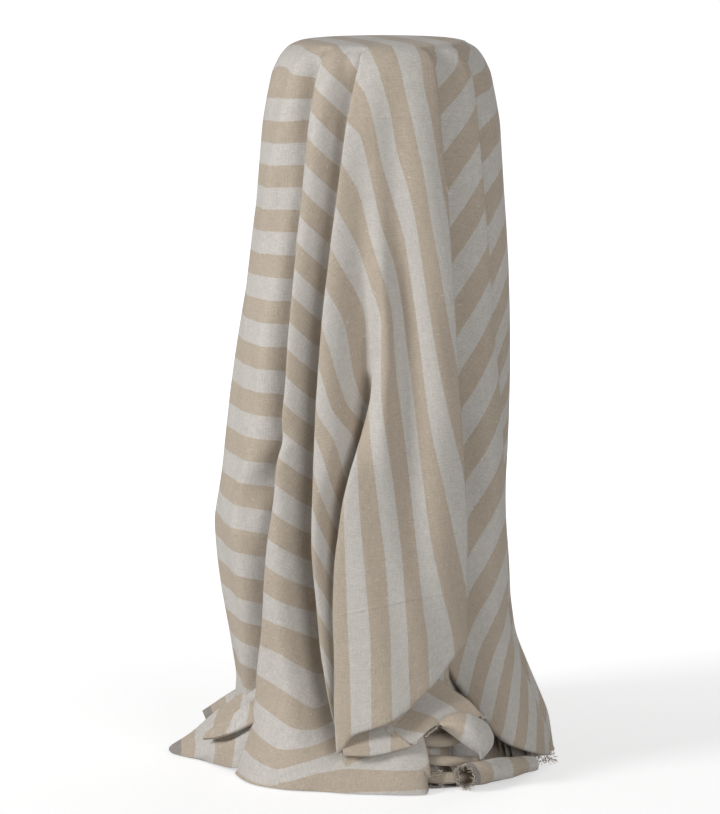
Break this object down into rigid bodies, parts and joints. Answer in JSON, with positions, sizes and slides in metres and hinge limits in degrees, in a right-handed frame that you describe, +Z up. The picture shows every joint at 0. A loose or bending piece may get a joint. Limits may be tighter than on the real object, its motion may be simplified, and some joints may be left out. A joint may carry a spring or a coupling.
{
  "type": "fabric bolt",
  "caption": "Upright bolt of cloth wound on a cardboard tube, with a length of the same striped cloth draped over it in pleats to the floor.",
  "frame": {"origin": "centre of the tube's lower mouth, on the floor", "axes": "+Z up along the tube, -Y towards the front of the drape, +X to the right seen from the front"},
  "size_m": [0.326, 0.305, 0.615],
  "materials": {
    "cardboard": "spiral-wound kraft board",
    "paper_tape": "matte crepe",
    "wound_fabric": "plain-weave cotton and linen, beige and off-white stripes",
    "cotton_tape": "twill tape",
    "draped_fabric": "plain-weave cotton and linen, beige and off-white stripes"
  },
  "bodies": {
    "bolt": {"core_tube": "cardboard", "starter_tape": "paper_tape", "wound_cloth": "wound_fabric", "upper_tie": "cotton_tape", "lower_tie": "cotton_tape"},
    "drape": {"draped_cloth": "draped_fabric"}
  },
  "joints": [
    {"name": "drape_lift", "type": "slide", "parent": "bolt", "child": "drape", "axis": [0, 0, 1], "range_m": [0, 0.65]}
  ]
}
